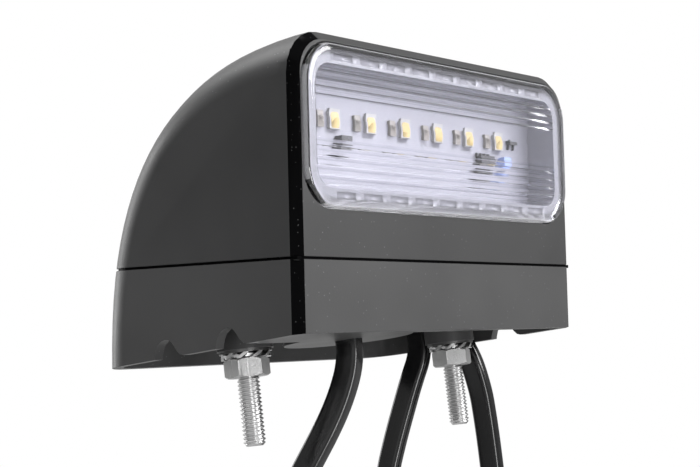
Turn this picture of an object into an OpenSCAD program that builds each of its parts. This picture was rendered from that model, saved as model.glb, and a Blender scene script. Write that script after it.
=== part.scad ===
// Number plate lamp: a leaning cover with a reeded window on a wedge base,
// two threaded studs and three flat twin leads.
// Z = 0 is the mounting plane, the origin lies midway between the studs,
// X runs along the window and the window faces -Y.

/* [Housing] */
// Width across the side faces
body_w = 82; // [78:1:100]
// Depth of the base along its mounting rim
body_d = 49.5; // [46:0.5:58]
// Height of the base at the front, below the parting line
base_front_h = 12.2; // [11.5:0.1:16]
// Lean of the window towards the mounting plane, in degrees
lean_angle = 6.6; // [3:0.1:9]
// Wall of the cover and the base
wall_t = 2; // [1.6:0.1:2.4]
// Front wall of the cover, which carries the lens
front_wall_t = 3.2; // [2.8:0.1:3.8]
// Radius between the sides and the curved back
back_r = 7.5; // [6:0.5:9]
// Bevel along the front edges
edge_bevel = 1.6; // [1:0.1:1.8]
// Fullness of the crown, where 2 is an ellipse
crown_power = 2.55; // [2.3:0.05:2.7]

/* [Parting joint] */
// Height of the shadow gap between cover and base
gap_h = 0.4; // [0.3:0.05:1]
// Depth of the shadow gap
gap_depth = 0.35; // [0.2:0.05:0.8]
// How far the base's tongue stands in from the outside
tongue_inset = 1.2; // [1:0.05:1.3]
// Height of the tongue on the base above the parting line
tongue_h = 2.4; // [1.5:0.1:3.5]
// Thickness of the joint seal
seal_t = 0.8; // [0.5:0.1:1.2]

/* [Window] */
// Distance from the side faces to the lens
lens_margin = 1.95; // [1.9:0.05:3]
// Height of the lens
lens_h = 27.4; // [26:0.1:28]
// Height of the cover's front face below the lens
lens_foot = 8.3; // [7.5:0.1:10]
// Height of the cover's front face above the lens
bezel_h = 2; // [1.7:0.1:3]
// Corner radius of the lens
lens_r = 7; // [6.5:0.1:8]
// How far the lens stands proud of the cover
lens_proud = 1.1; // [0.6:0.1:1.5]
// Thickness of the lens's face
lens_face_t = 2.1; // [1.7:0.1:2.3]
// Width of the lens's seat on the cover
seat_w = 0.9; // [0.8:0.1:1.4]
// Width of the reflector tray's lip behind the lens
lip_w = 2.3; // [1.9:0.1:2.3]
// Play around the lens in its pocket
lens_play = 0.2; // [0.1:0.05:0.3]
// Height of the reeded field
reed_field_h = 20.2; // [19:0.1:20.6]
// Depth of the narrow reeds
reed_rise = 0.2; // [0.1:0.05:0.4]
// Depth of the two wide reeds
wide_reed_rise = 0.12; // [0.05:0.01:0.3]

/* [Light unit] */
// Thickness of the circuit board
board_t = 1.6; // [1:0.1:2]
// Distance from the lens's sides to the circuit board's
board_margin_x = 2.65; // [2.6:0.05:4]
// Distance from the lens's top and foot to the circuit board's
board_margin_z = 3; // [3:0.1:4]
// Distance from the front face to the front of the board
board_y = 7.1; // [6.8:0.1:8]
// Distance from the circuit board's ends to the outer light diodes
led_margin = 11.8; // [10.5:0.1:13]
// Height of the light diodes above the parting line
led_z = 24.3; // [22:0.1:25]
// Size of a light diode along X, Y and Z
led_size = [2.8, 0.7, 3.5];
// Size of a chip resistor along X, Y and Z
resistor_size = [1.6, 0.6, 3.2];

/* [Base] */
// Depth of the open recess under the deck
recess_h = 5; // [4.2:0.1:5]
// Thickness of the deck
deck_t = 2; // [1.5:0.1:2.2]
// Depth of the sealing compound on the deck
compound_t = 2.6; // [1.4:0.1:2.8]
// Height of the four rim notches
notch_h = 3.1; // [2:0.1:4]
// Width of a rim notch at the rim
notch_w = 7.4; // [5:0.1:8]
// Distance between the two notches of one side
notch_pitch = 15.1; // [12:0.1:16]
// How far behind the studs' row the middle of the two notches lies
notch_back = 0.4; // [0:0.1:1]
// Radius of the round land at the front lead
land_r = 11.5; // [9:0.1:12]

/* [Fasteners] */
// Distance from the side faces to the studs
stud_inset = 11; // [10:0.5:13]
// Distance from the front edge of the rim to the studs
stud_setback = 22.7; // [21:0.1:25]
// Thread diameter of the studs
stud_d = 4; // [3.5:0.5:4]
// Length of a stud below its head
stud_l = 25; // [22:1:30]
// Width across flats of the nuts and stud heads
hex_af = 7; // [6:0.5:8]
// Height of a nut
nut_h = 3.2; // [2.4:0.1:4]
// Outer diameter of the flat washers
washer_d = 9.3; // [8:0.1:10]
// Thickness of the flat washers
washer_t = 0.5; // [0.3:0.1:1]
// Height of the toothed washers
tooth_t = 1; // [0.8:0.1:1.4]
// Diameter of the stud bosses
boss_d = 10; // [9.4:0.1:10.6]
// Height of the stud bosses above the mounting plane
boss_h = 8.4; // [8:0.1:9]

/* [Leads] */
// Width of the flat twin leads
lead_w = 5; // [4:0.1:5.2]
// Thickness of the flat twin leads
lead_t = 2.8; // [2.2:0.1:2.9]
// Diameter of one insulated core
core_d = 1.8; // [1.4:0.1:2]
// Length of the insulated cores at the free ends
core_l = 9; // [5:1:20]
// Length of the bare strands at the free ends
strand_l = 6; // [4:1:10]

/* [Hidden] */

$fn = 48;
tiny = 0.02;
reach = 200;

// Crown: how far its middle lies before the front face, and below the parting line
crown_ahead = 6;
crown_drop = 20;
crown_steps = 26;
side_steps = 6;

lens_z = lens_foot + lens_h / 2;
cover_h = lens_foot + lens_h + bezel_h;
stud_pitch = body_w - 2 * stud_inset;
lens_w = body_w - 2 * lens_margin;
lens_bevel = 0.8;
deck_z = recess_h;
deck_top = deck_z + deck_t;
compound_top = deck_top + compound_t;
entry_top = compound_top + 0.8;
post_x = stud_pitch / 2 - 3;
post_w = 6;
post_t = 2.2;
tray_inset = seat_w + lens_play / 2;
tray_hollow = tray_inset + lip_w;
pocket_size = [5, 0.15, 1.2];
pocket_count = 9;
board_w = lens_w - 2 * board_margin_x;
board_h = lens_h - 2 * board_margin_z;
parts_drop = 3.5;
led_pitch = (board_w - 2 * led_margin) / 5;
board_play = 0.1;
hole_play = 0.15;
thread_play = 0.02;
slot_play = 0.05;
phosphor_size = [2.1, 0.06, 3.1];
resistor_gap = 3.6;
head_h = 2.8;
stack_h = washer_t + tooth_t + nut_h;
shank_d = stud_d - 0.3;
tooth_count = 10;
wire_d = 1.2;
wire_rise = 6;

// Reeded field: bands from its top edge down, two wide ones in the middle
reed_bands = [1.35, 1.35, 1.35, 1.35, 3.3, 3.7, 1.56, 1.56, 1.56, 1.56, 1.56];

// Leads: where they leave the base, and their routes below it
entry_1 = [14.6 - stud_pitch / 2, -11.3, 0];
entry_2 = [stud_pitch / 2 + 0.5, 8.2, recess_h];
entry_3 = [body_w / 2 - 4.3, 3.4, recess_h];
route_1 = [for (step = [
    [0, 0, 0], [0, 0.1, -2.5], [-0.1, 0.9, -5.5], [-0.6, 2.2, -8.8], [-1.3, 3.9, -12.2],
    [-2.3, 5.8, -15.6], [-3.4, 7.9, -19], [-4.6, 10.1, -22.6], [-5.8, 12.2, -26.6], [-6.8, 14, -31.5],
    [-7.6, 15.3, -37.5], [-8.1, 16.3, -45], [-8.4, 16.8, -54], [-8.6, 17, -66], [-8.6, 17.1, -80],
    [-8.6, 17.1, -96], [-8.6, 17.1, -114], [-8.6, 17.1, -132], [-8.6, 17.1, -150], [-8.6, 17.1, -167],
    [-8.6, 17.1, -184], [-8.6, 17.1, -201], [-8.6, 17.1, -212]
]) entry_1 + step];
route_2 = [for (step = [
    [0, 0, 0], [0, -0.1, -2.5], [0, 0, -5], [-0.3, 0.6, -7.6], [-0.8, 1.7, -10.2], [-1.3, 3, -13.2],
    [-1.8, 4.4, -16.6], [-2.4, 5.9, -20.4], [-3, 7.4, -24.4], [-3.7, 8.9, -29], [-4.4, 10.1, -34.5],
    [-5, 11.1, -41], [-5.4, 11.7, -49], [-5.6, 12, -59], [-5.7, 12.1, -71], [-5.7, 12.1, -85],
    [-5.7, 12.1, -101], [-5.7, 12.1, -119], [-5.7, 12.1, -137], [-5.7, 12.1, -155], [-5.7, 12.1, -173],
    [-5.7, 12.1, -191], [-5.7, 12.1, -207], [-5.7, 12.1, -217]
]) entry_2 + step];
route_3 = [for (step = [
    [0, 0, 0], [0, -0.4, -2], [0.1, -1.2, -4.2], [0.4, -2.1, -6.6], [1, -2.8, -9.4], [1.7, -3.1, -12.6],
    [2.4, -3.2, -16.2], [3, -3, -20.2], [3.6, -2.7, -24.6], [4.2, -2.3, -29.6], [4.7, -1.9, -35],
    [5.1, -1.6, -42], [5.3, -1.5, -51], [5.4, -1.4, -62], [5.4, -1.4, -75], [5.4, -1.4, -90],
    [5.4, -1.4, -107], [5.4, -1.4, -125], [5.4, -1.4, -143], [5.4, -1.4, -161], [5.4, -1.4, -179],
    [5.4, -1.4, -197], [5.4, -1.4, -217]
]) entry_3 + step];

cover_black = [0.16, 0.16, 0.165];
seal_black = [0.08, 0.08, 0.08];
clear_lens = [0.86, 0.87, 0.95, 0.5];
board_white = [0.93, 0.93, 0.95];
zinc_grey = [0.74, 0.75, 0.76];

// The crown's outline in the side view, from its top (t = 0) to its back (t = 90)
function crown(t) = [
    -crown_ahead + (body_d + crown_ahead) * pow(sin(t), 2 / crown_power),
    -crown_drop + (cover_h + crown_drop) * pow(cos(t), 2 / crown_power)
];

function unit(v) = v / norm(v);

function crown_normal(t) =
    t < 0.5 ? [0, 1] :
    t > 89.5 ? [1, 0] :
    let (d = crown(t + 0.4) - crown(t - 0.4)) unit([-d[1], d[0]]);

function crown_offset(t, depth) = crown(t) - depth * crown_normal(t);

// One side-view section of the body, set in by depth
function section(depth, floor_z) = concat(
    [[-crown_ahead, floor_z]],
    [for (k = [0:crown_steps]) crown_offset(90 * k / crown_steps, depth)],
    [[body_d - depth, floor_z]]
);

// Puts its children from the cover's frame into the part's frame
module lean() {
    translate([0, -stud_setback, 0]) rotate([lean_angle, 0, 0]) translate([0, 0, base_front_h]) children();
}

// Round-backed body, set in by inset all round, in the cover's frame
module body_form(inset) {
    floor_z = -2 * base_front_h - 10;
    r = back_r - inset;
    turns = [for (k = [0:side_steps]) 90 * k / side_steps];
    stations = concat(
        [for (a = turns) [-(body_w / 2 - inset - r * (1 - cos(a))), inset + r * (1 - sin(a))]],
        [for (k = [0:side_steps]) let (a = turns[side_steps - k])
            [body_w / 2 - inset - r * (1 - cos(a)), inset + r * (1 - sin(a))]]
    );
    n = len(stations);
    m = crown_steps + 3;
    points = [for (s = stations) for (p = section(s[1], floor_z)) [s[0], p[0], p[1]]];
    polyhedron(points = points, faces = concat(
        [[for (j = [0:m - 1]) m - 1 - j]],
        [[for (j = [0:m - 1]) (n - 1) * m + j]],
        [for (i = [0:n - 2]) for (j = [0:m - 1]) let (k = (j + 1) % m) [i * m + j, i * m + k, (i + 1) * m + k]],
        [for (i = [0:n - 2]) for (j = [0:m - 1]) let (k = (j + 1) % m) [i * m + j, (i + 1) * m + k, (i + 1) * m + j]]
    ));
}

// A plate that stands in the X-Z plane between two depths
module upright(y0, y1) {
    translate([0, y1, 0]) rotate([90, 0, 0]) linear_extrude(y1 - y0) children();
}

module rounded_rect(w, h, r) {
    square([w - 2 * r, h], center = true);
    square([w, h - 2 * r], center = true);
    for (x = [-1, 1]) for (z = [-1, 1]) translate([x * (w / 2 - r), z * (h / 2 - r)]) circle(r);
}

// Front view of the body with its two round shoulders, set in by inset
module front_outline(inset) {
    top = cover_h - inset;
    half = body_w / 2 - inset;
    r = back_r - inset;
    foot = 2 * base_front_h;
    translate([-half, -foot]) square([2 * half, foot + top - r]);
    translate([-half + r, top - 2 * r]) square([2 * (half - r), 2 * r]);
    for (x = [-1, 1]) translate([x * (half - r), top - r]) circle(r, $fn = 32);
}

// The outer form of cover and base together, bevelled along the front
module outer_form() {
    intersection() {
        body_form(0);
        hull() {
            upright(edge_bevel, body_d + 10) front_outline(0);
            upright(0, tiny) front_outline(edge_bevel);
        }
    }
}

module slab(z0, z1) {
    translate([-reach / 2, -reach / 2, z0]) cube([reach, reach, z1 - z0]);
}

module lens_shape(inset) {
    translate([0, lens_z]) rounded_rect(lens_w - 2 * inset, lens_h - 2 * inset, lens_r - inset);
}

module housing_cover() {
    color(cover_black) lean() difference() {
        intersection() {
            outer_form();
            slab(gap_h / 2, cover_h + 1);
        }
        intersection() {
            body_form(wall_t);
            upright(front_wall_t, reach) translate([-reach / 2, -reach / 2]) square(reach);
            slab(-1, cover_h);
        }
        intersection() {
            body_form(tongue_inset - 0.1);
            upright(tongue_inset - 0.1, reach) translate([-reach / 2, -reach / 2]) square(reach);
            slab(-1, tongue_h + seal_t);
        }
        upright(-1, front_wall_t - lens_seat_t()) lens_shape(-lens_play);
        upright(-1, front_wall_t + 1) lens_shape(seat_w - lens_play);
    }
}

function lens_seat_t() = front_wall_t - 1.4;

// Notch outline as shares of half its width and of its height; its rear flank is steeper
notch_form = [[-1, 0], [-0.8, 0.08], [-0.62, 0.3], [-0.45, 0.62], [-0.3, 0.85], [-0.1, 0.97], [0.1, 1],
    [0.35, 0.96], [0.62, 0.78], [0.78, 0.5], [0.88, 0.2], [0.93, 0]];

module rim_notches() {
    half = notch_w / 2;
    arch = [for (share = notch_form) [share[0] * half, share[1] * notch_h]];
    outline = concat([[-half, -1]], arch, [[0.93 * half, -1]]);
    for (y = [-notch_pitch / 2, notch_pitch / 2]) for (x = [-1, 1])
        translate([x * (body_w / 2 - wall_t / 2) - wall_t, y + (x < 0 ? notch_back : 0), 0])
            rotate([90, 0, 90]) linear_extrude(2 * wall_t) polygon(outline);
}

// Ring of wall between two insets, open above and below
module wall_ring(outer_inset, inner_inset, front_inset) {
    difference() {
        children();
        intersection() {
            body_form(inner_inset);
            upright(front_inset, reach) translate([-reach / 2, -reach / 2]) square(reach);
        }
    }
}

// Ring of the base that rises inside the cover's edge, at an inset and up to a height
module tongue(inset, top) {
    wall_ring(inset, wall_t, wall_t) intersection() {
        body_form(inset);
        upright(inset, reach) translate([-reach / 2, -reach / 2]) square(reach);
        slab(-gap_h, top);
    }
}

module board_posts() {
    for (x = [-1, 1]) translate([x * post_x - post_w / 2, board_y + board_t, -base_front_h])
        cube([post_w, post_t, base_front_h + lens_z + 4]);
}

module base_frame() {
    color(cover_black) difference() {
        union() {
            intersection() {
                lean() union() {
                    wall_ring(0, wall_t, wall_t) intersection() {
                        outer_form();
                        slab(-reach / 2, -gap_h / 2);
                    }
                    tongue(tongue_inset, tongue_h);
                    tongue(gap_depth, gap_h / 2);
                }
                slab(0, reach / 2);
            }
            intersection() {
                lean() intersection() {
                    body_form(wall_t / 2);
                    upright(wall_t / 2, reach) translate([-reach / 2, -reach / 2]) square(reach);
                }
                union() {
                    slab(deck_z, deck_top);
                    translate([entry_1[0], entry_1[1], 0]) cylinder(r = land_r, h = deck_top);
                    translate([-body_w / 2, -stud_setback, 0])
                        cube([body_w / 2 + entry_1[0], land_r + 1, deck_top]);
                }
            }
            for (x = [-1, 1]) translate([x * stud_pitch / 2, 0, 0]) cylinder(d = boss_d, h = boss_h);
            intersection() {
                lean() board_posts();
                slab(deck_z + deck_t / 2, reach);
            }
        }
        for (x = [-1, 1]) translate([x * stud_pitch / 2, 0, -1]) cylinder(d = stud_d + 2 * hole_play, h = boss_h + 2);
        for (e = [entry_1, entry_2, entry_3]) translate([e[0], e[1], -1])
            linear_extrude(deck_top + 2) flat_twin(slot_play);
        rim_notches();
    }
}

module joint_seal() {
    color(seal_black) lean() wall_ring(tongue_inset, wall_t, wall_t) intersection() {
        body_form(tongue_inset);
        upright(tongue_inset, reach) translate([-reach / 2, -reach / 2]) square(reach);
        slab(tongue_h, tongue_h + seal_t);
    }
}

function band_edge(k) = k == 0 ? 0 : band_edge(k - 1) + reed_bands[k - 1];

module reeds() {
    total = band_edge(len(reed_bands));
    for (k = [0:len(reed_bands) - 1]) {
        chord = reed_bands[k] * reed_field_h / total;
        rise = chord > 2.5 ? wide_reed_rise : reed_rise;
        r = (chord * chord / 4 + rise * rise) / (2 * rise);
        z = lens_z + reed_field_h / 2 - (band_edge(k) + reed_bands[k] / 2) * reed_field_h / total;
        translate([-lens_w / 2, lens_face_t - lens_proud + rise - r, z]) rotate([0, 90, 0]) cylinder(r = r, h = lens_w);
    }
}

module lens() {
    seat_y = front_wall_t - lens_seat_t();
    back_y = lens_face_t - lens_proud;
    color(clear_lens) lean() union() {
        difference() {
            union() {
                hull() {
                    upright(-lens_proud, tiny - lens_proud) lens_shape(lens_bevel);
                    upright(lens_bevel - lens_proud, 0) lens_shape(0);
                }
                upright(-tiny, seat_y) lens_shape(0);
            }
            upright(back_y, front_wall_t) lens_shape(seat_w);
        }
        intersection() {
            reeds();
            upright(back_y - 0.5, back_y + 1) lens_shape(tray_hollow + lens_play);
        }
    }
}

module reflector_tray() {
    front_y = lens_face_t - lens_proud;
    color("white") lean() difference() {
        upright(front_y, board_y + board_t) lens_shape(tray_inset);
        upright(front_y - 1, board_y + tiny) lens_shape(tray_hollow);
        upright(board_y, board_y + board_t + 1)
            translate([-board_w / 2 - board_play, lens_z - board_h / 2 - board_play])
                square([board_w + 2 * board_play, board_h + 2 * board_play]);
        for (k = [1:pocket_count]) for (side = [-1, 1])
            translate([
                (k - (pocket_count + 1) / 2) * (lens_w - 2 * lens_r) / pocket_count - pocket_size[0] / 2, front_y - 1,
                lens_z + side * (lens_h / 2 - tray_inset - lip_w / 2) - pocket_size[2] / 2
            ]) cube(pocket_size + [0, 1, 0]);
    }
}

module circuit_board() {
    color(board_white) lean() upright(board_y, board_y + board_t)
        translate([0, lens_z]) square([board_w, board_h], center = true);
}

// Stands a part on the front of the board at x and z
module on_board(x, z) {
    lean() translate([x, board_y, z]) children();
}

function led_x(k) = (k - 3.5) * led_pitch;

module standing_block(size, lift) {
    translate([-size[0] / 2, -size[1] - lift, -size[2] / 2]) cube(size);
}

module light_diode(k) {
    color([0.88, 0.86, 0.78]) on_board(led_x(k), led_z) standing_block(led_size, 0);
}

module phosphor(k) {
    color([0.95, 0.82, 0.45]) on_board(led_x(k), led_z) translate([0, -led_size[1], 0])
        rotate([90, 0, 0]) linear_extrude(phosphor_size[1])
            rounded_rect(phosphor_size[0], phosphor_size[2], phosphor_size[0] / 4);
}

module resistor(k) {
    color([0.55, 0.53, 0.5]) on_board(led_x(k) - resistor_gap, led_z) union() {
        standing_block(resistor_size, 0);
        translate([0, -resistor_size[1], 0]) rotate([90, 0, 0]) cylinder(d = resistor_size[0] - 0.4, h = 0.25);
    }
}

module input_diode() {
    color([0.2, 0.2, 0.22]) on_board(led_x(1) + 2.1, led_z - parts_drop) union() {
        standing_block([2.8, 1.6, 2], 0);
        standing_block([3.8, 0.6, 1.2], 0);
    }
}

module driver_chip() {
    color([0.25, 0.25, 0.27]) on_board(led_x(5) + led_pitch / 2, led_z - parts_drop - 0.6) union() {
        standing_block([4.6, 1.5, 2.4], 0);
        for (x = [-1.9, -0.63, 0.63, 1.9]) translate([x, 0, 0]) standing_block([0.45, 0.4, 3.8], 0);
    }
}

module capacitor() {
    color([0.35, 0.45, 0.75]) on_board(led_x(6) + 1.5, led_z - parts_drop - 0.4) union() {
        standing_block([2.4, 1.7, 2.2], 0);
        standing_block([3.2, 0.7, 1.6], 0);
    }
}

module transistor() {
    color([0.25, 0.25, 0.27]) on_board(led_x(6) + 4.6, led_z) union() {
        standing_block([2.6, 1, 1.4], 0);
        for (x = [-0.9, 0.9]) translate([x, 0, -0.7]) standing_block([0.4, 0.35, 1.1], 0);
        translate([0, 0, 0.7]) standing_block([0.4, 0.35, 1.1], 0);
    }
}

module sealing_compound() {
    color([0.1, 0.1, 0.11]) difference() {
        intersection() {
            lean() intersection() {
                body_form(wall_t + tiny);
                upright(wall_t + tiny, reach) translate([-reach / 2, -reach / 2]) square(reach);
            }
            slab(deck_top, compound_top);
        }
        for (x = [-1, 1]) translate([x * stud_pitch / 2, 0, deck_top - 1]) cylinder(d = boss_d, h = boss_h);
        lean() board_posts();
        for (e = [entry_1, entry_2, entry_3]) translate([e[0], e[1], deck_top - 1])
            linear_extrude(compound_t + 2) flat_twin(0);
    }
}

// Section of a flat twin lead, wide along Y
module flat_twin(play) {
    w = lead_t + 2 * play;
    h = lead_w + 2 * play;
    polygon(flat_ring(w, h));
}

// Twelve points of a flat lead's section
function flat_ring(w, h) = let (c = 0.27 * w, e = 0.1 * w) [
    [w / 2, -h / 2 + c], [w / 2, h / 2 - c], [w / 2 - e, h / 2 - e], [w / 2 - c, h / 2],
    [-w / 2 + c, h / 2], [-w / 2 + e, h / 2 - e], [-w / 2, h / 2 - c], [-w / 2, -h / 2 + c],
    [-w / 2 + e, -h / 2 + e], [-w / 2 + c, -h / 2], [w / 2 - c, -h / 2], [w / 2 - e, -h / 2 + e]
];

// The lead's jacket where it passes through the deck
module lead_entry(e) {
    color(seal_black) translate([e[0], e[1], e[2]]) linear_extrude(entry_top - e[2]) flat_twin(0);
}

function tangent(path, i) = unit(path[min(i + 1, len(path) - 1)] - path[max(i - 1, 0)]);

// Sweeps a ring of points along a path; its end faces lie square to the two directions given
module sweep(path, ring, first, last) {
    n = len(path);
    m = len(ring);
    points = [for (i = [0:n - 1]) let (
        t = i == 0 ? first : i == n - 1 ? last : tangent(path, i),
        u = unit([1, 0, 0] - t[0] * t),
        v = cross(u, t)
    ) for (p = ring) path[i] + p[0] * u - p[1] * v];
    polyhedron(points = points, faces = concat(
        [[for (j = [0:m - 1]) m - 1 - j]],
        [[for (j = [0:m - 1]) (n - 1) * m + j]],
        [for (i = [0:n - 2]) for (j = [0:m - 1]) let (k = (j + 1) % m) [i * m + j, i * m + k, (i + 1) * m + k]],
        [for (i = [0:n - 2]) for (j = [0:m - 1]) let (k = (j + 1) % m) [i * m + j, (i + 1) * m + k, (i + 1) * m + j]]
    ));
}

module lead(path) {
    color(seal_black) sweep(path, flat_ring(lead_t, lead_w), [0, 0, -1], [0, 0, -1]);
}

// The two stripped cores at a lead's free end
module lead_end(path) {
    tip = path[len(path) - 1];
    color([0.75, 0.6, 0.5]) for (y = [-1, 1]) translate([tip[0], tip[1] + y * lead_w / 4, tip[2] - core_l - strand_l])
        union() {
            cylinder(d = 0.6 * core_d, h = strand_l + 1);
            translate([0, 0, strand_l]) cylinder(d = core_d, h = core_l);
        }
}

// Eight points of an inner wire's section
wire_ring = [for (k = [0:7]) wire_d / 2 * [cos(45 * k + 22.5), sin(45 * k + 22.5)]];

// A point on the back of the board at x and z
function on_back(x, z) = let (y = board_y + board_t) [
    x,
    y * cos(lean_angle) - (z + base_front_h) * sin(lean_angle) - stud_setback,
    y * sin(lean_angle) + (z + base_front_h) * cos(lean_angle)
];

// One inner wire from the top of a lead's entry over the rise to the back of the board
module wire_run(from, pad) {
    start = [from[0], from[1], entry_top];
    into = [0, -cos(lean_angle), -sin(lean_angle)];
    crest = [(start[0] + pad[0]) / 2, (start[1] + pad[1]) / 2 + wire_rise / 2, pad[2] + wire_rise / 3];
    path = [
        start, start + [0, 0, wire_rise / 3], start + [0, wire_rise / 15, 0.8 * wire_rise], crest,
        pad - 0.7 * wire_rise * into + [(start[0] - pad[0]) / 12, 0, wire_rise / 10],
        pad - wire_rise / 4 * into, pad
    ];
    sweep(path, wire_ring, [0, 0, 1], into);
}

module inner_wires() {
    pad_z = lens_z - board_h / 4;
    color([0.6, 0.15, 0.1]) union() {
        wire_run(entry_1 - [0, lead_w / 4, 0], on_back(-board_w / 4, pad_z));
        wire_run(entry_1 + [0, lead_w / 4, 0], on_back(-board_w / 6, pad_z));
        wire_run(entry_2 - [0, lead_w / 4, 0], on_back(0.28 * board_w, pad_z));
        wire_run(entry_2 + [0, lead_w / 4, 0], on_back(0.19 * board_w, pad_z + board_h / 4));
        wire_run(entry_3 - [0, lead_w / 4, 0], on_back(0.46 * board_w, pad_z));
        wire_run(entry_3 + [0, lead_w / 4, 0], on_back(0.46 * board_w, pad_z + board_h / 4));
    }
}

module hex_prism(h) {
    cylinder(r = hex_af / 2 / cos(30), h = h, $fn = 6);
}

// Hexagon whose corners are chamfered at its lower face, and at its upper face if both is true
module chamfered_hex(h, both) {
    r = hex_af / 2 / cos(30);
    c = 0.35;
    intersection() {
        hex_prism(h);
        rotate_extrude() polygon([[0, 0], [hex_af / 2, 0], [r, c], [r, both ? h - c : h],
            [both ? hex_af / 2 : r, h], [0, h]]);
    }
}

module each_stud() {
    for (x = [-1, 1]) translate([x * stud_pitch / 2, 0, 0]) children();
}

module mounting_studs() {
    r = stud_d / 2;
    c = 0.4;
    color(zinc_grey) each_stud() union() {
        translate([0, 0, boss_h]) mirror([0, 0, 1]) translate([0, 0, -head_h]) chamfered_hex(head_h, false);
        rotate_extrude() polygon([[0, boss_h - stud_l], [r - c, boss_h - stud_l], [r, boss_h - stud_l + c],
            [r, -stack_h], [shank_d / 2, -stack_h], [shank_d / 2, boss_h + 0.5], [0, boss_h + 0.5]]);
    }
}

module flat_washers() {
    color(zinc_grey) each_stud() translate([0, 0, -washer_t]) difference() {
        cylinder(d = washer_d, h = washer_t);
        translate([0, 0, -1]) cylinder(d = stud_d + 2 * hole_play, h = washer_t + 2);
    }
}

// Toothed lock washer: a flat ring with twisted teeth that fill tooth_t
module tooth_washers() {
    ring_t = 0.5;
    ring_r = 0.36 * washer_d;
    tooth_l = washer_d / 2 - 0.3 - ring_r;
    tooth_w = 1.1;
    twist = 32;
    color(zinc_grey) each_stud() translate([0, 0, -washer_t - tooth_t]) difference() {
        intersection() {
            union() {
                translate([0, 0, (tooth_t - ring_t) / 2]) cylinder(r = ring_r, h = ring_t);
                for (k = [0:tooth_count - 1]) rotate([0, 0, 360 * k / tooth_count])
                    translate([ring_r - 0.4, 0, tooth_t / 2]) rotate([twist, 0, 0])
                        translate([0, -tooth_w, -ring_t / 2]) cube([tooth_l + 0.4, 2 * tooth_w, ring_t]);
            }
            cylinder(d = washer_d - 0.6, h = tooth_t);
        }
        translate([0, 0, -1]) cylinder(d = stud_d + 2 * hole_play, h = tooth_t + 2);
    }
}

module hex_nuts() {
    color(zinc_grey) each_stud() translate([0, 0, -washer_t - tooth_t - nut_h]) difference() {
        rotate([0, 0, 22.5]) chamfered_hex(nut_h, true);
        translate([0, 0, -1]) cylinder(d = shank_d + 2 * thread_play, h = nut_h + 2);
    }
}

housing_cover();
base_frame();
joint_seal();
lens();
reflector_tray();
circuit_board();
for (k = [1:6]) light_diode(k);
for (k = [1:6]) phosphor(k);
for (k = [1:6]) resistor(k);
input_diode();
driver_chip();
capacitor();
transistor();
sealing_compound();
inner_wires();
mounting_studs();
flat_washers();
tooth_washers();
hex_nuts();
lead_entry(entry_1);  // lead_entry_1
lead_entry(entry_2);  // lead_entry_2
lead_entry(entry_3);  // lead_entry_3
lead(route_1);  // lead_1
lead(route_2);  // lead_2
lead(route_3);  // lead_3
lead_end(route_1);  // lead_end_1
lead_end(route_2);  // lead_end_2
lead_end(route_3);  // lead_end_3
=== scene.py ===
import math

import bmesh
import bpy
from mathutils import Matrix, Vector


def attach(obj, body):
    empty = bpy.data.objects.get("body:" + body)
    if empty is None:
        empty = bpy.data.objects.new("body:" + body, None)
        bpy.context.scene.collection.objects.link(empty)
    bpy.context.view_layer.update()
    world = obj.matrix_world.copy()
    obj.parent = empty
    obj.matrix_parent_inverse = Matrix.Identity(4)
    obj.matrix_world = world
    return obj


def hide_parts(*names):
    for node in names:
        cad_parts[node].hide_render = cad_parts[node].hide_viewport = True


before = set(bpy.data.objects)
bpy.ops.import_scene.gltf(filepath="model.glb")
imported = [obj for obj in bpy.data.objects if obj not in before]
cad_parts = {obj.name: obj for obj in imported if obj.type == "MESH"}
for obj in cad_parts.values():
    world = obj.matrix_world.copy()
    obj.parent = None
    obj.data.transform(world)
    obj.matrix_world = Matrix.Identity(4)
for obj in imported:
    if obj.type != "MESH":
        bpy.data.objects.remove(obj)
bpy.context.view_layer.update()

scene = bpy.context.scene
mm = 0.001

# Housing sizes in millimetres, as in the CAD source
housing = {"baseHeight": 12.2, "lean": 6.6, "studSetback": 22.7, "bevel": 1.6}
leanTurn = (
    Matrix.Translation((0, -housing["studSetback"] * mm, 0))
    @ Matrix.Rotation(math.radians(housing["lean"]), 4, "X")
    @ Matrix.Translation((0, 0, housing["baseHeight"] * mm))
)
toCover = leanTurn.inverted()


# Camera, fitted to the housing's edges in the photograph
photoCamera = {
    "place": (-0.2219, -0.1838, -0.0186), "turn": (97.97, 6.51, -49.73), "lens": 78.4, "sensor": 36,
    "near": 0.01,
}


def setCamera():
    data = bpy.data.cameras.new("photoCamera")
    data.sensor_width = photoCamera["sensor"]
    data.lens = photoCamera["lens"]
    data.clip_start = photoCamera["near"]
    camera = bpy.data.objects.new("photoCamera", data)
    camera.location = photoCamera["place"]
    camera.rotation_euler = [math.radians(angle) for angle in photoCamera["turn"]]
    scene.collection.objects.link(camera)
    scene.camera = camera


setCamera()
print("camera set")


# Small modelling helpers; they leave the piece active and in object mode
tolerance = {"same": 1e-7, "weld": 0.002, "flat": 0.3}


def selectOnly(piece):
    bpy.ops.object.select_all(action="DESELECT")
    piece.select_set(True)
    bpy.context.view_layer.objects.active = piece


def inEdit(piece, work):
    selectOnly(piece)
    bpy.ops.object.mode_set(mode="EDIT")
    work()
    bpy.ops.object.mode_set(mode="OBJECT")


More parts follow.
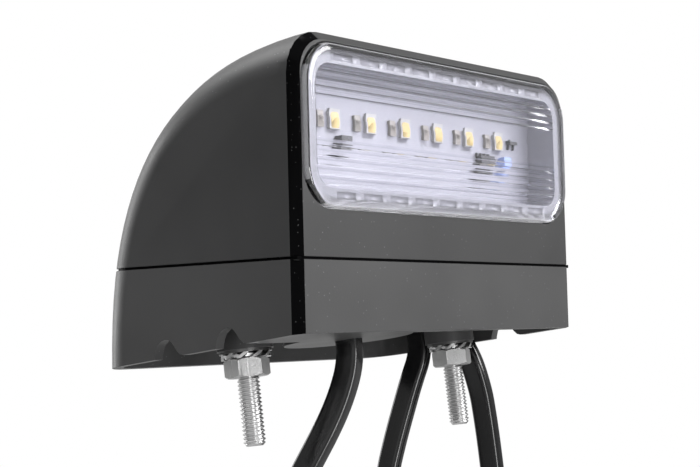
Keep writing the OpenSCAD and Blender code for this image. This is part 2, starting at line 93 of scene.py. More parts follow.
def loft(name, rings):
    # Rings of points in millimetres: a filled ring, whose cap is extruded to each next ring
    bpy.ops.object.select_all(action="DESELECT")
    bpy.ops.mesh.primitive_circle_add(vertices=len(rings[0]), radius=1, fill_type="NGON")
    piece = bpy.context.object
    piece.name = name
    bpy.ops.object.mode_set(mode="EDIT")
    mesh = bmesh.from_edit_mesh(piece.data)
    mesh.verts.ensure_lookup_table()
    for vertex, point in zip(mesh.verts, rings[0]):
        vertex.co = Vector(point) * mm
    bmesh.update_edit_mesh(piece.data)
    for before, after in zip(rings, rings[1:]):
        bpy.ops.mesh.extrude_region_move()
        mesh = bmesh.from_edit_mesh(piece.data)
        corners = [face for face in mesh.faces if face.select][0].verts
        places = [Vector(point) * mm for point in before]
        start = min(range(len(places)), key=lambda k: (corners[0].co - places[k]).length)
        following = (corners[1].co - places[(start + 1) % len(places)]).length
        step = 1 if following < tolerance["same"] else -1
        for k, vertex in enumerate(corners):
            vertex.co = Vector(after[(start + step * k) % len(after)]) * mm
        bmesh.update_edit_mesh(piece.data)
    bpy.ops.mesh.select_all(action="SELECT")
    bpy.ops.mesh.normals_make_consistent(inside=False)
    bpy.ops.object.mode_set(mode="OBJECT")
    return piece


def roundedRect(wide, high, corner, steps):
    # Points of a rectangle with round corners, in millimetres
    points = []
    for right, up, first in ((1, 1, 0), (-1, 1, 90), (-1, -1, 180), (1, -1, 270)):
        for k in range(steps + 1):
            a = math.radians(first + 90 * k / steps)
            points.append((
                right * (wide / 2 - corner) + corner * math.cos(a),
                up * (high / 2 - corner) + corner * math.sin(a),
            ))
    return points


def combine(piece, tool, operation):
    selectOnly(piece)
    step = piece.modifiers.new("combine", "BOOLEAN")
    step.operation = operation
    step.solver = "EXACT"
    step.object = tool
    bpy.ops.object.modifier_apply(modifier=step.name)
    bpy.data.objects.remove(tool)


def bevelAll(piece, width, segments, angle=40):
    selectOnly(piece)
    step = piece.modifiers.new("soften", "BEVEL")
    step.width = width * mm
    step.segments = segments
    step.limit_method = "ANGLE"
    step.angle_limit = math.radians(angle)
    bpy.ops.object.modifier_apply(modifier=step.name)


def joinPieces(pieces):
    bpy.ops.object.select_all(action="DESELECT")
    for piece in pieces:
        piece.select_set(True)
    bpy.context.view_layer.objects.active = pieces[0]
    bpy.ops.object.join()
    return pieces[0]


def finish(piece, material, nodes=(), leaning=False, angle=30):
    # Leans the piece if wanted, smooths and dresses it and hangs it on the body
    if leaning:
        piece.data.transform(leanTurn)
    selectOnly(piece)
    bpy.ops.object.shade_smooth_by_angle(angle=math.radians(angle))
    piece.data.materials.clear()
    for one in material if isinstance(material, list) else [material]:
        piece.data.materials.append(one)
    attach(piece, "root")
    if nodes:
        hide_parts(*nodes)
    return piece


def evenNormals(piece):
    # Lets large flat faces keep one normal next to narrow fillets
    selectOnly(piece)
    even = piece.modifiers.new("evenNormals", "WEIGHTED_NORMAL")
    even.keep_sharp = True
    even.mode = "FACE_AREA_WITH_ANGLE"
    even.weight = 80
    bpy.ops.object.modifier_apply(modifier=even.name)


def mergedCopy(node, name, flatten=False):
    # A new piece with a CAD node's triangles merged, and if wanted with whole flat faces
    piece = bpy.data.objects.new(name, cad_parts[node].data.copy())
    scene.collection.objects.link(piece)

    def merge():
        bpy.ops.mesh.select_all(action="SELECT")
        bpy.ops.mesh.remove_doubles(threshold=tolerance["weld"] * mm)
        if flatten:
            bpy.ops.mesh.dissolve_limited(angle_limit=math.radians(tolerance["flat"]))

    inEdit(piece, merge)
    return piece


# Node helpers

def newGroup(name, inputs, outputs):
    group = bpy.data.node_groups.new(name, "ShaderNodeTree")
    for label, kind, value in inputs:
        socket = group.interface.new_socket(name=label, in_out="INPUT", socket_type=kind)
        socket.default_value = value
    for label, kind in outputs:
        group.interface.new_socket(name=label, in_out="OUTPUT", socket_type=kind)
    return group, group.nodes.new("NodeGroupInput"), group.nodes.new("NodeGroupOutput")


def ramp(tree, source, low, high, first=0.0, last=1.0):
    # Values from low to high come out as first to last
    node = tree.nodes.new("ShaderNodeMapRange")
    limits = {"From Min": low, "From Max": high, "To Min": first, "To Max": last}
    for label, value in limits.items():
        node.inputs[label].default_value = value
    tree.links.new(source, node.inputs["Value"])
    return node.outputs["Result"]


def calculate(tree, operation, *values):
    # A math node; each value is a number or another node's output
    node = tree.nodes.new("ShaderNodeMath")
    node.operation = operation
    for socket, value in zip(node.inputs, values):
        if isinstance(value, bpy.types.NodeSocket):
            tree.links.new(value, socket)
        else:
            socket.default_value = value
    return node.outputs["Value"]


def mixColors(tree, mask, first, second):
    node = tree.nodes.new("ShaderNodeMix")
    node.data_type = "RGBA"
    node.inputs["A"].default_value = (*first, 1)
    node.inputs["B"].default_value = (*second, 1)
    tree.links.new(mask, node.inputs["Factor"])
    return node


def mixShaders(tree, mask, first, second):
    node = tree.nodes.new("ShaderNodeMixShader")
    tree.links.new(mask, node.inputs["Fac"])
    tree.links.new(first, node.inputs[1])
    tree.links.new(second, node.inputs[2])
    return node.outputs["Shader"]


# Shader effects that the materials share

def buildGrain():
    # Fine moulded grain: a height and a mask that varies slowly over the surface
    group, inside, outside = newGroup(
        "mouldedGrain",
        [("Grain Scale", "NodeSocketFloat", 2600.0), ("Patch Scale", "NodeSocketFloat", 60.0)],
        [("Height", "NodeSocketFloat"), ("Patches", "NodeSocketFloat")],
    )
    place = group.nodes.new("ShaderNodeTexCoord")
    fine = group.nodes.new("ShaderNodeTexNoise")
    fine.inputs["Detail"].default_value = 3
    patches = group.nodes.new("ShaderNodeTexNoise")
    patches.inputs["Detail"].default_value = 2
    for node, label in ((fine, "Grain Scale"), (patches, "Patch Scale")):
        group.links.new(place.outputs["Object"], node.inputs["Vector"])
        group.links.new(inside.outputs[label], node.inputs["Scale"])
    group.links.new(fine.outputs["Fac"], outside.inputs["Height"])
    group.links.new(ramp(group, patches.outputs["Fac"], 0.3, 0.7), outside.inputs["Patches"])
    return group


def buildDust():
    # Sparse pale specks of dust
    rarity = 0.86
    group, inside, outside = newGroup(
        "dustSpecks",
        [("Scale", "NodeSocketFloat", 900.0), ("Size", "NodeSocketFloat", 0.16)],
        [("Specks", "NodeSocketFloat")],
    )
    place = group.nodes.new("ShaderNodeTexCoord")
    cells = group.nodes.new("ShaderNodeTexVoronoi")
    chance = group.nodes.new("ShaderNodeSeparateColor")
    group.links.new(place.outputs["Object"], cells.inputs["Vector"])
    group.links.new(inside.outputs["Scale"], cells.inputs["Scale"])
    group.links.new(cells.outputs["Color"], chance.inputs["Color"])
    near = calculate(group, "LESS_THAN", cells.outputs["Distance"], inside.outputs["Size"])
    rare = calculate(group, "GREATER_THAN", chance.outputs["Red"], rarity)
    group.links.new(calculate(group, "MULTIPLY", near, rare), outside.inputs["Specks"])
    return group


grainGroup = buildGrain()
dustGroup = buildDust()
print("shader effects built")


def newMaterial(name, **values):
    material = bpy.data.materials.new(name)
    material.use_nodes = True
    shader = material.node_tree.nodes["Principled BSDF"]
    for label, value in values.items():
        shader.inputs[label.replace("_", " ")].default_value = value
    return material, material.node_tree, shader


def placeGroup(tree, group, **values):
    node = tree.nodes.new("ShaderNodeGroup")
    node.node_tree = group
    for label, value in values.items():
        node.inputs[label.replace("_", " ")].default_value = value
    return node


def grainedMaterial(
    name, color, deeper, roughness, spread, bump, dust=None, metallic=0.0, grain=2600, **more
):
    # Plastic, rubber or metal with moulded grain, slow patches and, where given, dust specks
    material, tree, shader = newMaterial(name, Metallic=metallic, **more)
    effect = placeGroup(tree, grainGroup, Grain_Scale=grain)
    tint = mixColors(tree, effect.outputs["Patches"], color, deeper)
    source = tint.outputs["Result"]
    if dust:
        specks = placeGroup(tree, dustGroup, Size=dust["size"], Scale=dust["scale"])
        dusted = mixColors(tree, specks.outputs["Specks"], color, dust["color"])
        tree.links.new(source, dusted.inputs["A"])
        source = dusted.outputs["Result"]
    tree.links.new(source, shader.inputs["Base Color"])
    rough = ramp(tree, effect.outputs["Patches"], 0, 1, roughness - spread, roughness + spread)
    tree.links.new(rough, shader.inputs["Roughness"])
    height = tree.nodes.new("ShaderNodeBump")
    height.inputs["Strength"].default_value = bump
    height.inputs["Distance"].default_value = 0.05 * mm
    tree.links.new(effect.outputs["Height"], height.inputs["Height"])
    tree.links.new(height.outputs["Normal"], shader.inputs["Normal"])
    return material


# Finishes: color, deeper color of the patches, roughness, its spread and the grain's strength
fineDust = {"scale": 1500, "size": 0.14, "color": (0.12, 0.12, 0.125)}
edgeDust = {"scale": 2200, "size": 0.2, "color": (0.06, 0.06, 0.06)}
coverPlastic = grainedMaterial(
    "coverPlastic", (0.028, 0.028, 0.0285), (0.032, 0.032, 0.0325), 0.42, 0.04, 0.2,
    dust=fineDust, Specular_IOR_Level=0.3,
)
basePlastic = grainedMaterial(
    "basePlastic", (0.042, 0.042, 0.0425), (0.047, 0.047, 0.0475), 0.42, 0.04, 0.2,
    dust=fineDust, Specular_IOR_Level=0.3,
)
# Painted dark reflection and painted shade: near black with almost no specular, for the front bevel
# and the groove between the shells
paintedDarkReflectionAndShade = grainedMaterial(
    "paintedDarkReflectionAndShade", (0.002, 0.002, 0.0022), (0.003, 0.003, 0.0032), 0.3, 0.06, 0.3,
    dust=edgeDust, Specular_IOR_Level=0.01,
)
sealRubber = grainedMaterial(
    "sealRubber", (0.012, 0.012, 0.012), (0.02, 0.02, 0.02), 0.7, 0.08, 0.4
)
leadJacketPlastic = grainedMaterial(
    "leadJacketPlastic", (0.004, 0.004, 0.0044), (0.006, 0.006, 0.0065), 0.17, 0.02, 0.1, grain=1800
)
zincPlate = grainedMaterial(
    "zincPlate", (0.64, 0.64, 0.64), (0.5, 0.5, 0.5), 0.32, 0.08, 0.3, metallic=1.0, grain=1500
)
nutPlate = grainedMaterial(
    "nutPlate", (0.46, 0.46, 0.46), (0.38, 0.38, 0.38), 0.38, 0.08, 1.0, metallic=0.6, grain=3200
)
washerPlate = grainedMaterial(
    "washerPlate", (0.16, 0.16, 0.16), (0.12, 0.12, 0.12), 0.34, 0.08, 0.3, metallic=1.0
)
tinPlate = grainedMaterial(
    "tinPlate", (0.7, 0.7, 0.72), (0.6, 0.6, 0.62), 0.25, 0.08, 0.3, metallic=1.0
)
trayPlastic = grainedMaterial(
    "trayPlastic", (0.21, 0.21, 0.235), (0.19, 0.19, 0.215), 0.4, 0.05, 0.1
)
boardMask = grainedMaterial(
    "boardMask", (0.235, 0.235, 0.262), (0.22, 0.22, 0.25), 0.35, 0.05, 0.1
)
ledBodyPlastic = grainedMaterial(
    "ledBodyPlastic", (0.31, 0.305, 0.3), (0.28, 0.275, 0.27), 0.4, 0.05, 0.1
)
phosphorGel = grainedMaterial(
    "phosphorGel", (0.45, 0.35, 0.15), (0.42, 0.32, 0.13), 0.3, 0.05, 0.15
)
chipBodyPlastic = grainedMaterial(
    "chipBodyPlastic", (0.02, 0.02, 0.022), (0.03, 0.03, 0.03), 0.45, 0.05, 0.2
)
resistorCeramic = grainedMaterial(
    "resistorCeramic", (0.19, 0.18, 0.16), (0.22, 0.2, 0.18), 0.4, 0.05, 0.2
)
capacitorCase = grainedMaterial(
    "capacitorCase", (0.2, 0.28, 0.55), (0.25, 0.32, 0.6), 0.4, 0.05, 0.1
)
compoundResin = grainedMaterial(
    "compoundResin", (0.015, 0.015, 0.015), (0.02, 0.02, 0.02), 0.3, 0.05, 0.3
)
coreRed = grainedMaterial("coreRed", (0.4, 0.02, 0.015), (0.45, 0.03, 0.02), 0.4, 0.05, 0.2)
coreBlack = grainedMaterial("coreBlack", (0.02, 0.02, 0.02), (0.03, 0.03, 0.03), 0.4, 0.05, 0.2)
print("finishes built")


# Leads: flat twin jackets that leave the base and hang from it
leads = {
    "width": 5, "thickness": 2.8, "corner": 1.0, "cornerSteps": 7, "between": 3,
    "routes": [
        [
            (-15.4, -11.3, 0), (-15.4, -11.2, -2.5), (-15.5, -10.4, -5.5), (-16, -9.1, -8.8),
            (-16.7, -7.4, -12.2), (-17.7, -5.5, -15.6), (-18.8, -3.4, -19), (-20, -1.2, -22.6),
            (-21.2, 0.9, -26.6), (-22.2, 2.7, -31.5), (-23, 4, -37.5), (-23.5, 5, -45),
            (-23.8, 5.5, -54), (-24, 5.7, -66), (-24, 5.8, -80), (-24, 5.8, -96),
            (-24, 5.8, -114), (-24, 5.8, -132), (-24, 5.8, -150), (-24, 5.8, -167),
            (-24, 5.8, -184), (-24, 5.8, -201), (-24, 5.8, -212),
        ],
        [
            (30.5, 8.2, 5), (30.5, 8.1, 2.5), (30.5, 8.2, 0), (30.2, 8.8, -2.6), (29.7, 9.9, -5.2),
            (29.2, 11.2, -8.2), (28.7, 12.6, -11.6), (28.1, 14.1, -15.4), (27.5, 15.6, -19.4),
            (26.8, 17.1, -24), (26.1, 18.3, -29.5), (25.5, 19.3, -36), (25.1, 19.9, -44),
            (24.9, 20.2, -54), (24.8, 20.3, -66), (24.8, 20.3, -80), (24.8, 20.3, -96),
            (24.8, 20.3, -114), (24.8, 20.3, -132), (24.8, 20.3, -150), (24.8, 20.3, -168),
            (24.8, 20.3, -186), (24.8, 20.3, -202), (24.8, 20.3, -212),
        ],
        [
            (36.7, 3.4, 5), (36.7, 3, 3), (36.8, 2.2, 0.8), (37.1, 1.3, -1.6), (37.7, 0.6, -4.4),
            (38.4, 0.3, -7.6), (39.1, 0.2, -11.2), (39.7, 0.4, -15.2), (40.3, 0.7, -19.6),
            (40.9, 1.1, -24.6), (41.4, 1.5, -30), (41.8, 1.8, -37), (42, 1.9, -46), (42.1, 2, -57),
            (42.1, 2, -70), (42.1, 2, -85), (42.1, 2, -102), (42.1, 2, -120), (42.1, 2, -138),
            (42.1, 2, -156), (42.1, 2, -174), (42.1, 2, -192), (42.1, 2, -212),
        ],
    ],
}

# Stripped ends: heights from the jacket's end and radii of the cores, and the strands below them
cores = {
    "around": 20,
    "profile": [(0.15, 0.9), (0, 0.9), (-0.4, 0.86), (-8.6, 0.86), (-8.9, 0.8), (-9, 0.6)],
    "strandTop": -8.8, "strandLength": 6.2, "strandRadius": 0.5, "strandAround": 28, "levels": 24,
    "turn": 0.35, "strands": 7, "strandHeight": 0.06, "tipTaper": 0.12,
}


def smoothRoute(route):
    # Catmull-Rom points between the route's own
    points = [Vector(p) for p in route]
    smooth = []
    for k in range(len(points) - 1):
        a = points[max(k - 1, 0)]
        b = points[k]
        c = points[k + 1]
        d = points[min(k + 2, len(points) - 1)]
        for step in range(leads["between"]):
            t = step / leads["between"]
            smooth.append(0.5 * (
                2 * b + (c - a) * t + (2 * a - 5 * b + 4 * c - d) * t * t
                + (3 * b - a - 3 * c + d) * t ** 3
            ))
    return smooth + [points[-1]]


def sweepRings(points, section):
    rings = []
    last = len(points) - 1
    for k, point in enumerate(points):
        if k in (0, last):
            along = Vector((0, 0, -1))
        else:
            along = (points[k + 1] - points[k - 1]).normalized()
        across = (Vector((1, 0, 0)) - along.x * along).normalized()
        side = across.cross(along)
        rings.append([point + p[0] * across - p[1] * side for p in section])
    return rings


def coreRings(middle):
    rings = []
    for height, radius in cores["profile"]:
        ring = []
        for k in range(cores["around"]):
            a = 2 * math.pi * k / cores["around"]
            ring.append(middle + Vector((radius * math.cos(a), radius * math.sin(a), height)))
        rings.append(ring)
    return rings


def strandRings(middle):
    # The ridges of the strands turn as they go down
    rings = []
    for k in range(cores["levels"] + 1):
        height = cores["strandTop"] - cores["strandLength"] * k / cores["levels"]
        turn = cores["turn"] * k
        taper = cores["tipTaper"] if k == cores["levels"] else 0
        ring = []
        for j in range(cores["strandAround"]):
            a = 2 * math.pi * j / cores["strandAround"]
            ridge = cores["strandHeight"] * abs(math.cos(cores["strands"] / 2 * a))
            radius = cores["strandRadius"] + ridge - taper
            outward = Vector((math.cos(a + turn), math.sin(a + turn), 0))
            ring.append(middle + outward * radius + Vector((0, 0, height)))
        rings.append(ring)
    return rings


def strippedEnd(name, route, colors):
    # Two insulated cores with their twisted strands, below the cut jacket
    parts = []
    for side in (-1, 1):
        middle = Vector(route[-1]) + Vector((0, side * leads["width"] / 4, 0))
        parts.append(loft("core", coreRings(middle)))
        parts.append(loft("strands", strandRings(middle)))
    for part, color in zip(parts, (0, 2, 1, 2)):
        for face in part.data.polygons:
            face.material_index = color
        part.data.materials.clear()
        for one in colors:
            part.data.materials.append(one)
    piece = joinPieces(parts)
    piece.name = name
    return piece


def layLeads():
    section = roundedRect(leads["thickness"], leads["width"], leads["corner"], leads["cornerSteps"])
    colors = [coreRed, coreBlack, tinPlate]
    for number, route in enumerate(leads["routes"], 1):
        points = smoothRoute(route)
        jacket = loft("leadJacket%d" % number, sweepRings(points, section))
        finish(jacket, leadJacketPlastic, ["lead_%d" % number], angle=50)
        end = strippedEnd("strippedCores%d" % number, route, colors)
        finish(end, colors, ["lead_end_%d" % number], angle=35)


layLeads()
print("leads laid")


# Housing: the cover and the base keep the CAD's shape, with softened edges
shells = {
    "soften": 0.1, "bevelSlack": 0.05, "bevelFacing": (-0.95, -0.5), "bevelAside": 0.2, "groove": 0.25,
}


def paintShell(shell):
    # The bevel at the front's sides is polished black plastic whose dark reflection is painted in, and
    # the groove between the shells is painted shade; both are deep black
    most, least = shells["bevelFacing"]
    turnBack = toCover.to_3x3()
    for face in shell.data.polygons:
        normal = turnBack @ face.normal
        middle = toCover @ face.center
        onEdge = 0 < middle.y < (housing["bevel"] + shells["bevelSlack"]) * mm
        # Painted dark reflection on the polished bevel
        if onEdge and most < normal.y < least and abs(normal.x) > shells["bevelAside"]:
            face.material_index = 1
        # Painted shade: the groove between the shells is made deep black
        if abs(middle.z) < shells["groove"] * mm:
            face.material_index = 1


def dressHousing():
    for node, name, plastic in (
        ("housing_cover", "coverShell", coverPlastic), ("base_frame", "baseShell", basePlastic)
    ):
        shell = mergedCopy(node, name, flatten=True)
        bevelAll(shell, shells["soften"], 2, angle=50)
        # The second material is the painted dark reflection and shade of the bevel and groove
        finish(shell, [plastic, paintedDarkReflectionAndShade], [node], angle=28)
        evenNormals(shell)
        paintShell(shell)


dressHousing()
print("housing dressed")


# Lens: a plate with a softened front edge, a foot all round and reeds on its inner side
lens = {
    "width": 78.1, "height": 27.4, "middle": 22, "corner": 7, "cornerSteps": 12, "proud": 1.1,
    "face": 2.1, "air": 0.03, "seat": 0.9, "foot": 1.37, "footFlat": 0.5, "lip": 3.35, "reach": 1,
    "edge": 1.25, "edgeDepth": 1.04, "edgeSteps": 12, "frontFlat": (0.1, 0.03),
    "field": 20.2, "bands": [1.35, 1.35, 1.35, 1.35, 3.3, 3.7, 1.56, 1.56, 1.56, 1.56, 1.56],
    "wideBand": 2.5, "rise": 0.15, "wideRise": 0.08, "ripple": 0.016, "wideRipple": 0.004,
    "ripples": 3, "bandSteps": 24, "side": 0.7, "sideFacing": 0.75,
}
lensBack = lens["face"] - lens["proud"] - lens["air"]


def clearPlastic():
    # Clear plastic that lets lamp light through to what lies behind it
    material, tree, shader = newMaterial(
        "lensClear", Base_Color=(0.93, 0.93, 0.985, 1), Roughness=0.03, Transmission_Weight=1.0,
        IOR=1.5, Specular_IOR_Level=0.3,
    )
    rays = tree.nodes.new("ShaderNodeLightPath")
    through = tree.nodes.new("ShaderNodeBsdfTransparent")
    through.inputs["Color"].default_value = (1, 1, 1, 1)
    shadow = rays.outputs["Is Shadow Ray"]
    both = mixShaders(tree, shadow, shader.outputs["BSDF"], through.outputs["BSDF"])
    tree.links.new(both, tree.nodes["Material Output"].inputs["Surface"])
    return material


lensClear = clearPlastic()
lensEdge = newMaterial(
    "lensEdge", Base_Color=(0.6, 0.6, 0.63, 1), Roughness=0.25, Transmission_Weight=0.7, IOR=1.5
)[0]


def rimMask(tree, inner, outer):
    # Runs from 0 to 1 between two distances inside the lens's edge, given in millimetres
    place = tree.nodes.new("ShaderNodeTexCoord")
    level = tree.nodes.new("ShaderNodeMapping")
    level.vector_type = "TEXTURE"
    level.inputs["Location"].default_value = leanTurn @ Vector((0, 0, lens["middle"] * mm))
    level.inputs["Rotation"].default_value = (math.radians(housing["lean"]), 0, 0)
    tree.links.new(place.outputs["Object"], level.inputs["Vector"])
    size = Vector((lens["width"] / 2 - lens["corner"], 0, lens["height"] / 2 - lens["corner"])) * mm
    source = level.outputs["Vector"]
    for operation, value in (
        ("ABSOLUTE", None), ("SUBTRACT", size), ("MAXIMUM", (0, 0, 0)), ("MULTIPLY", (1, 0, 1)),
        ("LENGTH", None),
    ):
        step = tree.nodes.new("ShaderNodeVectorMath")
        step.operation = operation
        tree.links.new(source, step.inputs[0])
        if value is not None:
            step.inputs[1].default_value = value
        source = step.outputs["Value" if operation == "LENGTH" else "Vector"]
    return ramp(tree, source, (lens["corner"] - inner) * mm, (lens["corner"] - outer) * mm)


def lensRing(y, inset):
    outline = roundedRect(
        lens["width"] - 2 * inset, lens["height"] - 2 * inset, lens["corner"] - inset,
        lens["cornerSteps"],
    )
    return [(x, y, lens["middle"] + z) for x, z in outline]


def edgeProfile():
    # Depths and insets of the outline, from the front face round its elliptical edge to the foot
    front = -lens["proud"]
    profile = [(front, lens["edge"] + inset) for inset in lens["frontFlat"]]
    for k in range(lens["edgeSteps"] + 1):
        a = math.pi / 2 * k / lens["edgeSteps"]
        depth = front + lens["edgeDepth"] * (1 - math.cos(a))
        profile.append((depth, lens["edge"] * (1 - math.sin(a))))
    return profile + [(lens["foot"], 0), (lens["foot"], lens["footFlat"])]


def reedProfile():
    # Points (y, z) of the inner face from the top of the reeded field down
    z = lens["middle"] + lens["field"] / 2
    points = [(lensBack, z)]
    for band in lens["bands"]:
        wide = band > lens["wideBand"]
        rise = lens["wideRise" if wide else "rise"]
        depth = lens["wideRipple" if wide else "ripple"]
        radius = (band * band / 4 + rise * rise) / (2 * rise)
        for k in range(1, lens["bandSteps"] + 1):
            part = k / lens["bandSteps"]
            arc = math.sqrt(radius * radius - (band * (part - 0.5)) ** 2)
            ripple = depth * (1 - math.cos(2 * math.pi * lens["ripples"] * part))
            points.append((lensBack + rise - radius + arc - ripple, z - band * part))
        z -= band
    return points


def paintSides(piece):
    # The lens's sides are hazier than its face
    turnBack = toCover.to_3x3()
    for face in piece.data.polygons:
        middle = toCover @ face.center
        beside = abs(middle.x) > (lens["width"] / 2 - lens["side"]) * mm
        above = abs(middle.z - lens["middle"] * mm) > (lens["height"] / 2 - lens["side"]) * mm
        if (beside or above) and abs((turnBack @ face.normal).y) < lens["sideFacing"]:
            face.material_index = 1


def makeLens():
    piece = loft("windowLens", [lensRing(y, inset) for y, inset in edgeProfile()])
    depths = (lensBack, lens["foot"] + lens["reach"])
    hollow = loft("hollow", [lensRing(y, lens["seat"]) for y in depths])
    combine(piece, hollow, "DIFFERENCE")
    depths = (lensBack - lens["reach"] / 2, lensBack + lens["reach"])
    reeds = loft("reeds", [lensRing(y, lens["lip"]) for y in depths])
    outline = [(lensBack - lens["reach"], lens["middle"] + lens["field"] / 2)] + reedProfile()
    outline.append((lensBack - lens["reach"], outline[-1][1]))
    half = lens["width"] / 2
    form = loft("reedForm", [[(x, y, z) for y, z in outline] for x in (-half, half)])
    combine(reeds, form, "INTERSECT")
    combine(piece, reeds, "UNION")
    finish(piece, [lensClear, lensEdge], ["lens"], leaning=True, angle=12)
    paintSides(piece)


makeLens()
print("lens made")


# Studs with a rolled thread, and their hex heads
studs = {
    "diameter": 4, "pitch": 0.7, "depth": 0.34, "slack": 0.02, "around": 40, "perTurn": 10,
    "top": 8.4, "length": 25, "tip": 0.6, "head": 2.8, "flats": 7, "headEdge": 0.25, "x": 30,
}


def threadRings():
    radius = studs["diameter"] / 2
    low = studs["top"] - studs["length"]
    count = int(studs["length"] / studs["pitch"] * studs["perTurn"])
    rings = []
    for k in range(count + 1):
        z = low + studs["length"] * k / count
        ring = []
        for j in range(studs["around"]):
            a = 2 * math.pi * j / studs["around"]
            phase = (z / studs["pitch"] - j / studs["around"]) % 1
            cut = studs["depth"] * (0.5 - 0.5 * math.cos(2 * math.pi * phase))
            r = radius - studs["slack"] - cut
            if z - low < studs["tip"]:
                r = min(r, radius - studs["tip"] + z - low)
            ring.append((r * math.cos(a), r * math.sin(a), z))
        rings.append(ring)
    return rings


def makeStuds():
    rod = loft("rod", threadRings())
    corner = studs["flats"] / 2 / math.cos(math.pi / 6)
    bpy.ops.object.select_all(action="DESELECT")
    bpy.ops.mesh.primitive_cylinder_add(
        vertices=6, radius=corner * mm, depth=studs["head"] * mm,
        location=(0, 0, (studs["top"] + studs["head"] / 2) * mm),
    )
    head = bpy.context.object
    bpy.ops.object.transform_apply(location=True, rotation=True, scale=True)
    bevelAll(head, studs["headEdge"], 2)
    stud = joinPieces([rod, head])
    other = stud.copy()
    other.data = stud.data.copy()
    scene.collection.objects.link(other)
    stud.data.transform(Matrix.Translation((-studs["x"] * mm, 0, 0)))
    other.data.transform(Matrix.Translation((studs["x"] * mm, 0, 0)))
    pair = joinPieces([stud, other])
    pair.name = "threadedStuds"
    finish(pair, zincPlate, ["mounting_studs"], angle=58)


makeStuds()
for node, name, plate in (
    ("flat_washers", "flatWashers", washerPlate), ("tooth_washers", "toothWashers", zincPlate),
    ("hex_nuts", "hexNuts", nutPlate),
):
    finish(mergedCopy(node, name), plate, [node], angle=12)
print("fasteners made")


# Light unit behind the lens
# The lip's painted shade starts 2.1 mm inside the lens's edge and is full at 1.5 mm
unit = {"diodes": 6, "leads": 3, "lipDepth": 1.5, "lipShadeStart": 2.1, "lipShadeFull": 1.5}


def trayLip():
    # Painted shade on the tray's lip: darker than the tray under the clear face and darker still
    # outside it, where the lens's edge shows it
    material, tree, shader = newMaterial("lipPaintedShade", Roughness=0.4)
    rim = rimMask(tree, unit["lipShadeStart"], unit["lipShadeFull"])
    # Painted shade: a darkened lip that goes near black outside the clear face
    tone = mixColors(tree, rim, (0.16, 0.16, 0.175), (0.05, 0.05, 0.055))
    tree.links.new(tone.outputs["Result"], shader.inputs["Base Color"])
    return material


def dressUnit():
    dressed = [
        ("reflector_tray", "reflectorTray", trayPlastic, "tray"),
        ("circuit_board", "circuitBoard", boardMask, "board"),
        ("input_diode", "inputDiode", chipBodyPlastic, "diode"),
        ("driver_chip", "driverChip", chipBodyPlastic, "chip"),
        ("capacitor", "filterCapacitor", capacitorCase, "capacitor"),
        ("transistor", "smallTransistor", chipBodyPlastic, "chip"),
        ("joint_seal", "jointSeal", sealRubber, "seal"),
        ("sealing_compound", "castCompound", compoundResin, "compound"),
        ("inner_wires", "innerWires", coreRed, "inner_wire"),
    ]
    for k in range(1, unit["diodes"] + 1):
        dressed.append(("led_%d" % k, "ledBody%d" % k, ledBodyPlastic, "led_body"))
        dressed.append(("phosphor_%d" % k, "phosphorFill%d" % k, phosphorGel, "phosphor"))
        dressed.append(("resistor_%d" % k, "chipResistor%d" % k, resistorCeramic, "resistor"))
    for k in range(1, unit["leads"] + 1):
        dressed.append(("lead_entry_%d" % k, "leadEntry%d" % k, leadJacketPlastic, "lead"))
    for node, name, material, slot in dressed:
        piece = finish(mergedCopy(node, name), material, [node], angle=30)
        # The tray's front lip takes the material with the painted shade
        if node == "reflector_tray":
            piece.data.materials.append(trayLip())
            for face in piece.data.polygons:
                if (toCover @ face.center).y < unit["lipDepth"] * mm:
                    face.material_index = 1


dressUnit()
print("light unit dressed")


# Studio: white surround, pale floor, soft lamps
studio = {
    "ambient": 0.4, "below": 0.12, "blend": 0.3, "floorDrop": -0.245, "floorRadius": 0.9,
    "floorLit": (0.45, 0.45, 0.45), "floorSeen": (0.85, 0.85, 0.85), "dimSide": (0.64, -0.76, -0.1),
    "surround": [(0.015, 0.36), (0.16, 1.0), (0.4, 0.9), (0.7, 0.55), (0.95, 0.45)],
    "floorTone": 0.08, "floorFrom": -0.4, "floorTo": -0.1,
}
lamps = {
    "lampRight": {"place": (0.5, -0.9, 0.45), "wide": 0.7, "tall": 0.7, "power": 17.5},
    "lampHigh": {"place": (-0.35, -0.69, 0.78), "wide": 0.6, "tall": 0.6, "power": 1.5},
    "lampStreak": {"place": (-0.18, -0.36, -0.13), "wide": 0.11, "tall": 0.22, "power": 0.7},
    "lampBack": {"place": (-0.08, 0.5, 0.14), "wide": 0.2, "tall": 0.3, "power": 0.8},
    "lampAbove": {"place": (-0.2, 0.35, 0.9), "wide": 0.8, "tall": 0.8, "power": 8},
}


def reflectedTone(tree, outlook, height):
    # Reflections see the surround pale behind the lamp, dimmed to its left and before the lens
    aim = tree.nodes.new("ShaderNodeVectorMath")
    aim.operation = "DOT_PRODUCT"
    aim.inputs[1].default_value = studio["dimSide"]
    tree.links.new(outlook, aim.inputs[0])
    side = tree.nodes.new("ShaderNodeValToRGB")
    stops = side.color_ramp.elements
    for position, value in studio["surround"]:
        stops.new(position).color = (value, value, value, 1)
    stops.remove(stops[0])
    stops.remove(stops[-1])
    toward = calculate(tree, "MULTIPLY_ADD", aim.outputs["Value"], 0.5, 0.5)
    tree.links.new(toward, side.inputs["Fac"])
    low = ramp(tree, height, studio["floorFrom"], studio["floorTo"], studio["floorTone"], 1.0)
    return calculate(tree, "MULTIPLY", side.outputs["Color"], low)


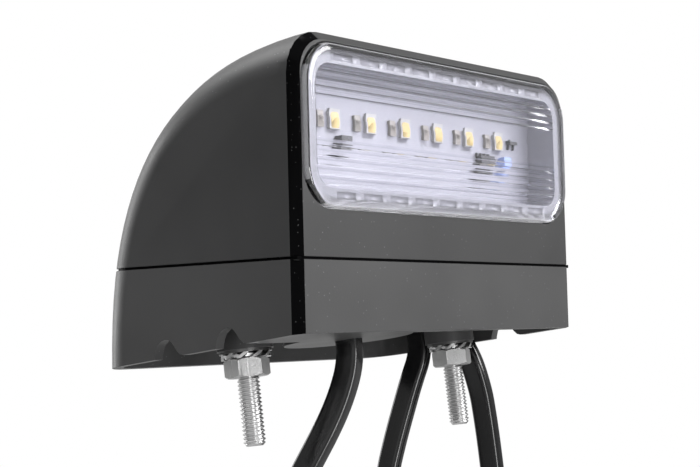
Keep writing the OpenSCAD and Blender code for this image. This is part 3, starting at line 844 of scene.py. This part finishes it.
def buildWorld():
    # Camera and glass see pure white, reflections their own tone and everything else a soft fill
    world = bpy.data.worlds.new("studio")
    world.use_nodes = True
    scene.world = world
    tree = world.node_tree
    outlook = tree.nodes.new("ShaderNodeTexCoord").outputs["Generated"]
    split = tree.nodes.new("ShaderNodeSeparateXYZ")
    tree.links.new(outlook, split.inputs["Vector"])
    height = split.outputs["Z"]
    soft = tree.nodes["Background"]
    soft.inputs["Color"].default_value = (1, 1, 1, 1)
    fill = ramp(tree, height, -studio["blend"], studio["blend"], studio["below"], studio["ambient"])
    tree.links.new(fill, soft.inputs["Strength"])
    rays = tree.nodes.new("ShaderNodeLightPath")
    direct, glass = rays.outputs["Is Camera Ray"], rays.outputs["Is Transmission Ray"]
    clear = calculate(tree, "MAXIMUM", direct, glass)
    white = tree.nodes.new("ShaderNodeBackground")
    white.inputs["Color"].default_value = (1, 1, 1, 1)
    strength = calculate(tree, "MAXIMUM", clear, reflectedTone(tree, outlook, height))
    tree.links.new(strength, white.inputs["Strength"])
    shown = calculate(tree, "MAXIMUM", clear, rays.outputs["Is Glossy Ray"])
    both = mixShaders(tree, shown, soft.outputs["Background"], white.outputs["Background"])
    tree.links.new(both, tree.nodes["World Output"].inputs["Surface"])


def layFloor():
    bpy.ops.object.select_all(action="DESELECT")
    bpy.ops.mesh.primitive_circle_add(
        vertices=96, radius=studio["floorRadius"], fill_type="NGON",
        location=(0, 0, studio["floorDrop"]),
    )
    floor = bpy.context.object
    floor.name = "studioFloor"
    bpy.ops.object.transform_apply(location=True, rotation=True, scale=True)
    material, tree, shader = newMaterial("floorPale", Roughness=0.8)
    rays = tree.nodes.new("ShaderNodeLightPath")
    tone = mixColors(tree, rays.outputs["Is Camera Ray"], studio["floorLit"], studio["floorSeen"])
    tree.links.new(tone.outputs["Result"], shader.inputs["Base Color"])
    floor.data.materials.append(material)


def hangLamps():
    for name, lamp in lamps.items():
        data = bpy.data.lights.new(name, "AREA")
        data.shape = "RECTANGLE"
        data.size = lamp["wide"]
        data.size_y = lamp["tall"]
        data.energy = lamp["power"]
        light = bpy.data.objects.new(name, data)
        light.location = lamp["place"]
        light.rotation_euler = (-Vector(lamp["place"])).to_track_quat("-Z", "Y").to_euler()
        scene.collection.objects.link(light)


buildWorld()
layFloor()
hangLamps()
scene.view_settings.view_transform = "Standard"
print("studio built")
